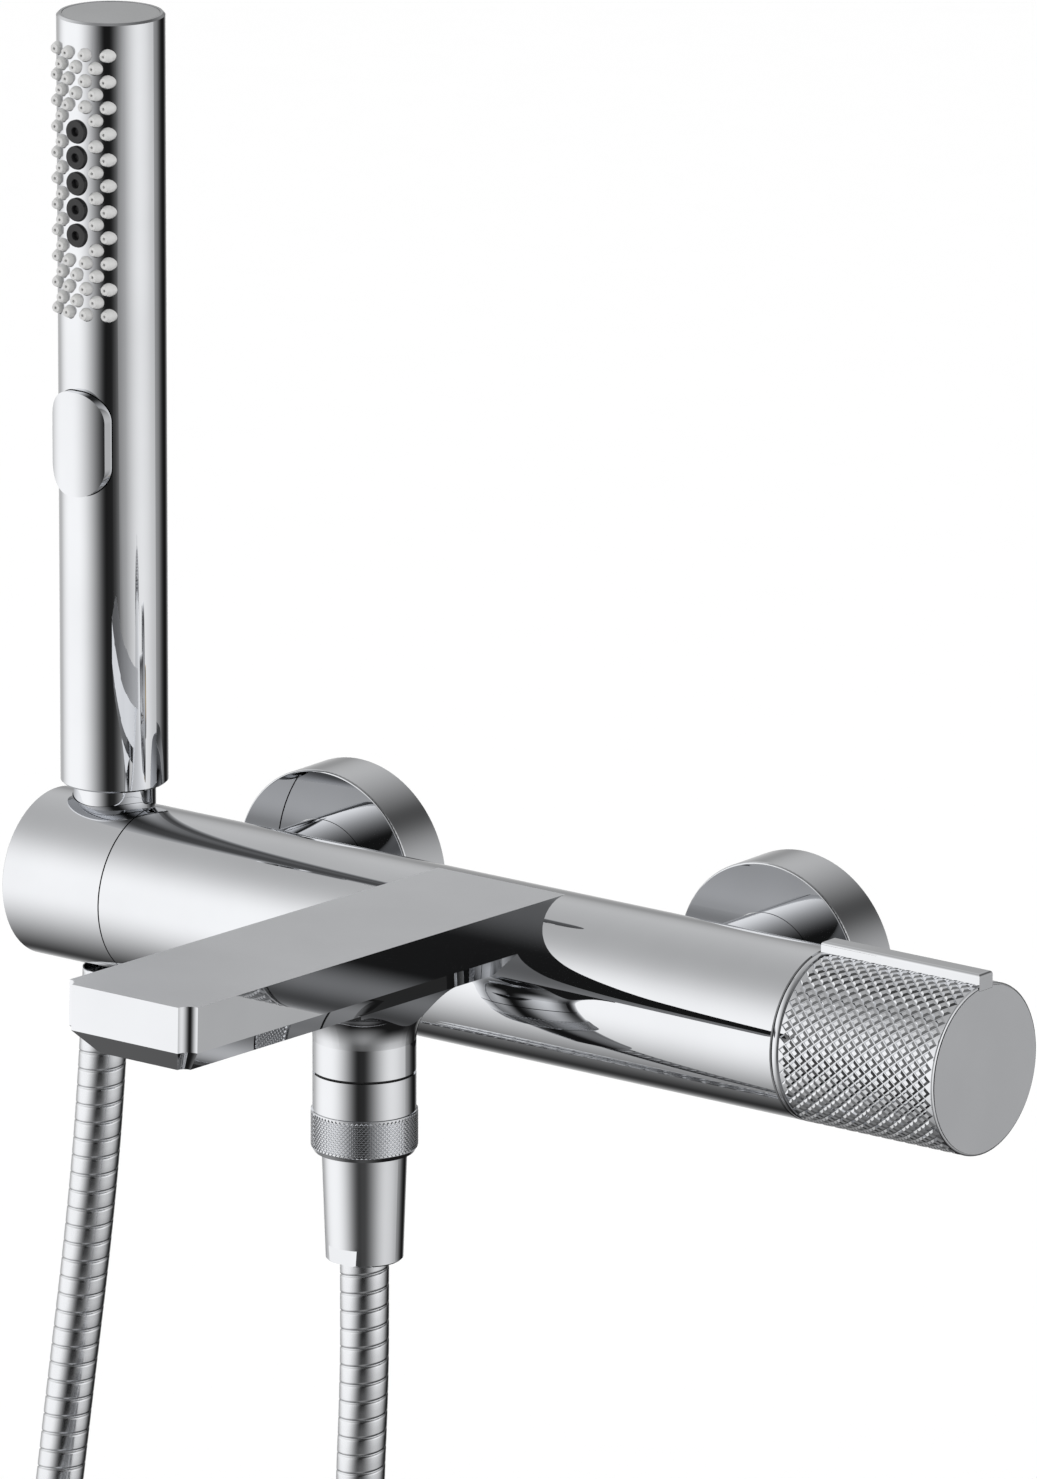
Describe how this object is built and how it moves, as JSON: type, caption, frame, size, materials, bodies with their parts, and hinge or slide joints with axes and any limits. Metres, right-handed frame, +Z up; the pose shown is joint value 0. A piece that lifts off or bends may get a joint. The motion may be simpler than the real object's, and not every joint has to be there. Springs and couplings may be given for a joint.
{
  "type": "wall mounted bath faucet",
  "caption": "Wall mounted bath and shower mixer in polished chrome with a flat bar spout, a knurled end knob and a slim stick hand shower on a coiled metal hose.",
  "frame": {"origin": "on the wall plane, halfway between the two water inlets", "axes": "+Z up, +Y into the wall, -Y out towards the user, +X along the body towards the knob"},
  "size_m": [0.3149, 0.2263, 0.5557],
  "materials": {
    "chrome": "polished",
    "brass": "satin",
    "steel": "brushed",
    "stainless_hose": "polished",
    "black_plastic": "matte",
    "white_plastic": "matte",
    "grey_plastic": "satin",
    "nozzle_rubber": "matte",
    "jet_rubber": "matte",
    "seal_rubber": "matte",
    "ceramic": "glossy"
  },
  "bodies": {
    "mixer": {"body_casting": "chrome", "aerator_housing": "chrome", "aerator_insert": "grey_plastic", "cartridge_housing": "brass", "cartridge_gasket": "seal_rubber", "ceramic_disc_fixed": "ceramic", "stem_seal": "seal_rubber", "cartridge_nut": "brass", "holder_stop_screw": "steel", "collar_seal": "seal_rubber", "outlet_nipple": "brass", "outlet_hose_nut": "chrome", "outlet_hose_washer": "seal_rubber", "hose_outlet_leg": "stainless_hose", "hose_handset_leg": "stainless_hose", "hose_coil": "stainless_hose", "hose_tie": "black_plastic", "s_union_left": "brass", "union_nut_left": "brass", "inlet_tail_left": "brass", "inlet_gasket_left": "seal_rubber", "inlet_filter_left": "steel", "neck_sleeve_left": "chrome", "wall_flange_left": "chrome", "s_union_right": "brass", "union_nut_right": "brass", "inlet_tail_right": "brass", "inlet_gasket_right": "seal_rubber", "inlet_filter_right": "steel", "neck_sleeve_right": "chrome", "wall_flange_right": "chrome"},
    "holder": {"holder_body": "chrome", "holder_bush": "grey_plastic", "trunnion_seal": "seal_rubber"},
    "hand_shower": {"shower_tube": "chrome", "shower_cap": "grey_plastic", "nozzle_mat": "white_plastic", "spray_nozzles": "nozzle_rubber", "jet_nozzles": "jet_rubber", "water_tube": "white_plastic", "valve_block": "white_plastic", "supply_tube": "white_plastic", "shower_base": "white_plastic", "handset_hose_nut": "chrome", "handset_hose_washer": "seal_rubber", "hose_tail": "stainless_hose"},
    "button": {"push_button": "chrome", "button_spool": "white_plastic", "button_spring": "steel"},
    "knob": {"knob_sleeve": "chrome", "knob_end_plate": "chrome", "knob_fin": "chrome", "knob_hub": "white_plastic", "hub_grub_screw": "steel", "fin_screws": "steel", "knob_stem": "brass", "ceramic_disc_moving": "ceramic"},
    "diverter": {"diverter_collar": "chrome", "diverter_ring": "chrome", "diverter_spool": "brass"}
  },
  "joints": [
    {"name": "holder_swivel", "type": "hinge", "parent": "mixer", "child": "holder", "pos_m": [-0.12, -0.0545, 0], "axis": [1, 0, 0], "range_deg": [-8, 45]},
    {"name": "shower_lift", "type": "slide", "parent": "holder", "child": "hand_shower", "axis": [0, 0, 1], "range_m": [0, 0.045]},
    {"name": "button_press", "type": "slide", "parent": "hand_shower", "child": "button", "axis": [0, 1, 0], "range_m": [0, 0.0023], "stiffness_N_per_m": 1200, "springref_m": -0.001, "deforming": ["button_spring"]},
    {"name": "knob_turn", "type": "hinge", "parent": "mixer", "child": "knob", "pos_m": [0.148, -0.0545, 0], "axis": [1, 0, 0], "range_deg": [0, 105]},
    {"name": "diverter_turn", "type": "hinge", "parent": "mixer", "child": "diverter", "pos_m": [0.0155, -0.1126, -0.0255], "axis": [0, 0, 1], "range_deg": [0, 90]}
  ]
}
